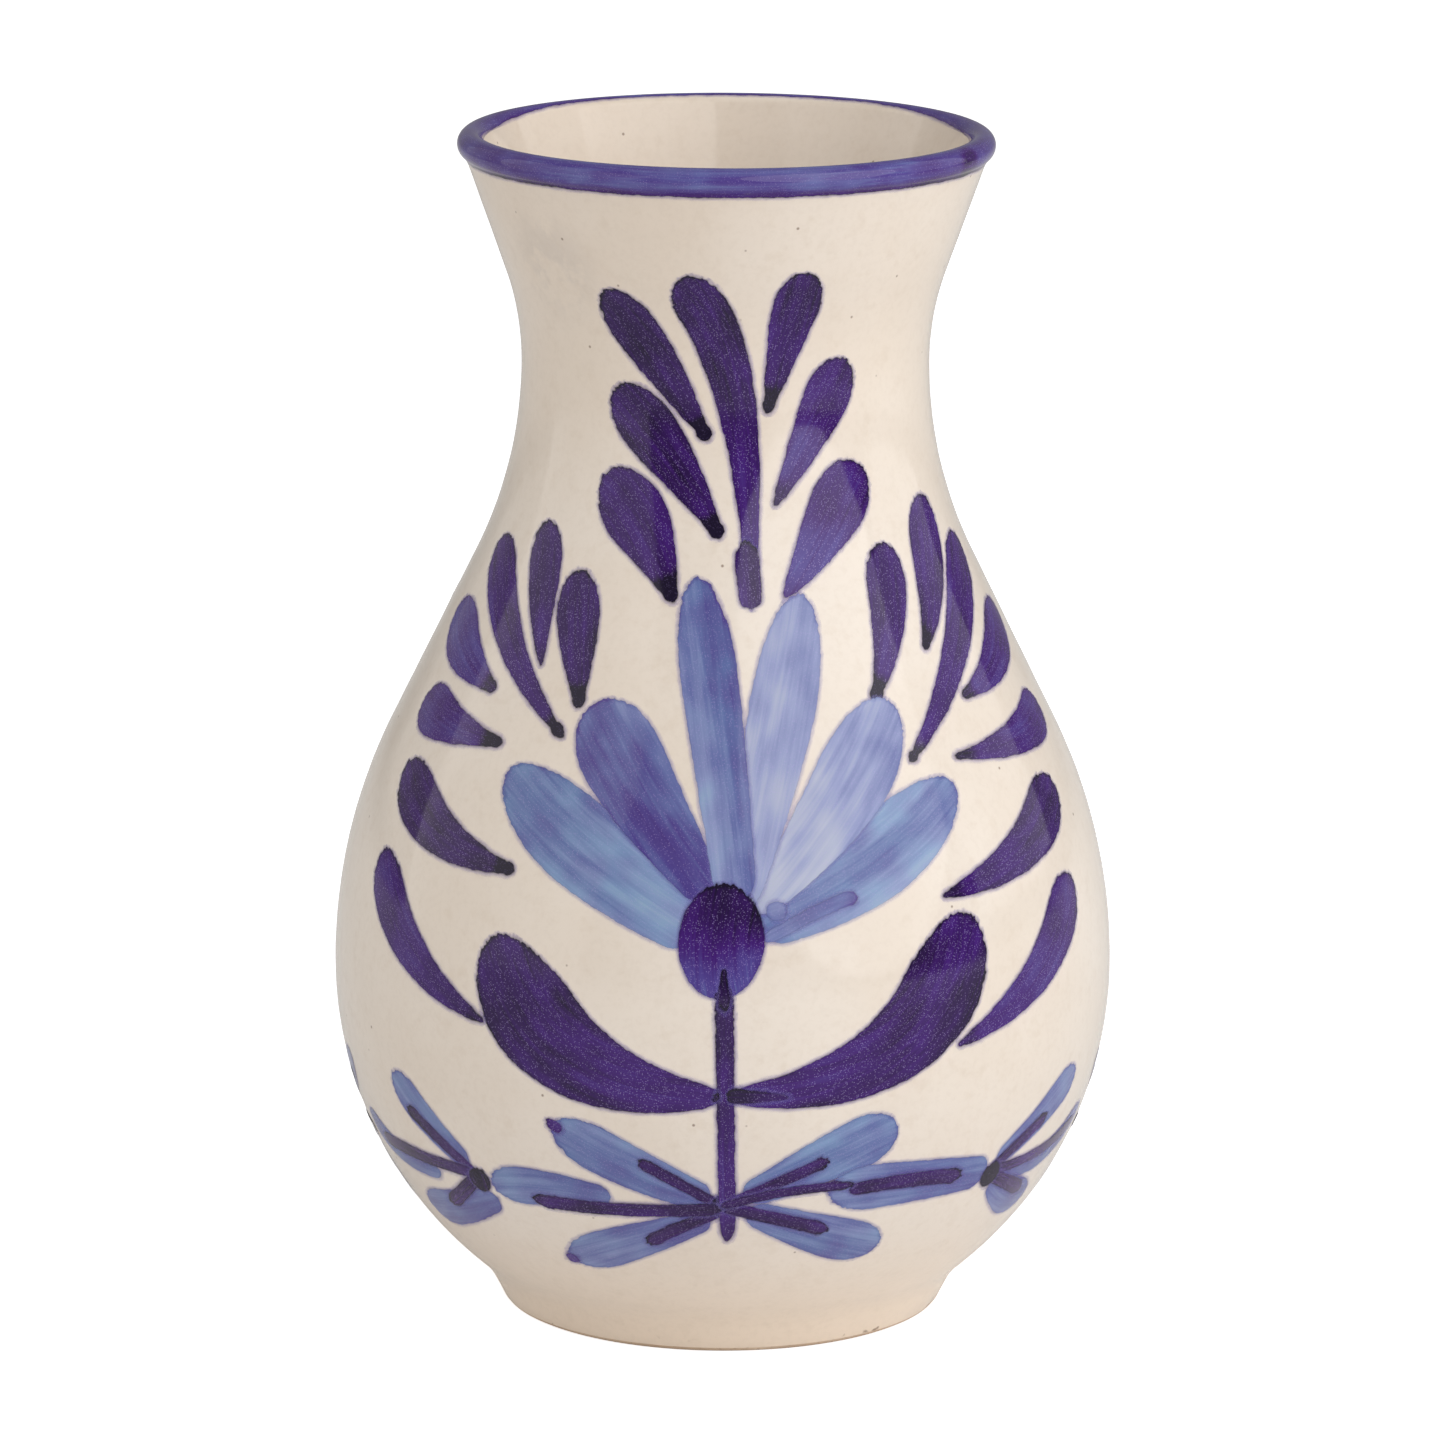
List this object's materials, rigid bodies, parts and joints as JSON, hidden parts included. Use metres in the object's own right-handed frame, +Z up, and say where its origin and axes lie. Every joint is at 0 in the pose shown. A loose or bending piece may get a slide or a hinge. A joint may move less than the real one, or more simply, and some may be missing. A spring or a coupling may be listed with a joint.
{
  "type": "talavera pottery vase",
  "caption": "Pear-shaped earthenware flower vase with a flared rolled lip, low foot, white glaze and blue hand-painted flowers.",
  "frame": {"origin": "centre of the flat face that the vase stands on", "axes": "+Z up along the vase's turning axis, the painted front faces -Y, +X to the right of a viewer in front"},
  "size_m": [0.1312, 0.1314, 0.2],
  "materials": {
    "bare_clay": "matt fired earthenware",
    "white_glaze": "glossy warm ivory tin glaze",
    "rim_blue": "glossy streaky blue-violet brushwork",
    "dark_blue": "glossy streaky violet-navy brushwork",
    "light_blue": "glossy washed periwinkle brushwork"
  },
  "bodies": {
    "root": {"clay_body": "bare_clay", "outer_glaze": "white_glaze", "inner_glaze": "white_glaze", "rim_band": "rim_blue", "front_top_plume": "dark_blue", "front_left_plume": "dark_blue", "front_right_plume": "dark_blue", "front_petals": "light_blue", "front_flower_eye": "dark_blue", "front_stem": "dark_blue", "front_leaves": "dark_blue", "back_top_plume": "dark_blue", "back_left_plume": "dark_blue", "back_right_plume": "dark_blue", "back_petals": "light_blue", "back_flower_eye": "dark_blue", "back_stem": "dark_blue", "back_leaves": "dark_blue", "garland_leaves": "light_blue", "garland_vines": "dark_blue", "garland_knots": "dark_blue"}
  },
  "joints": []
}
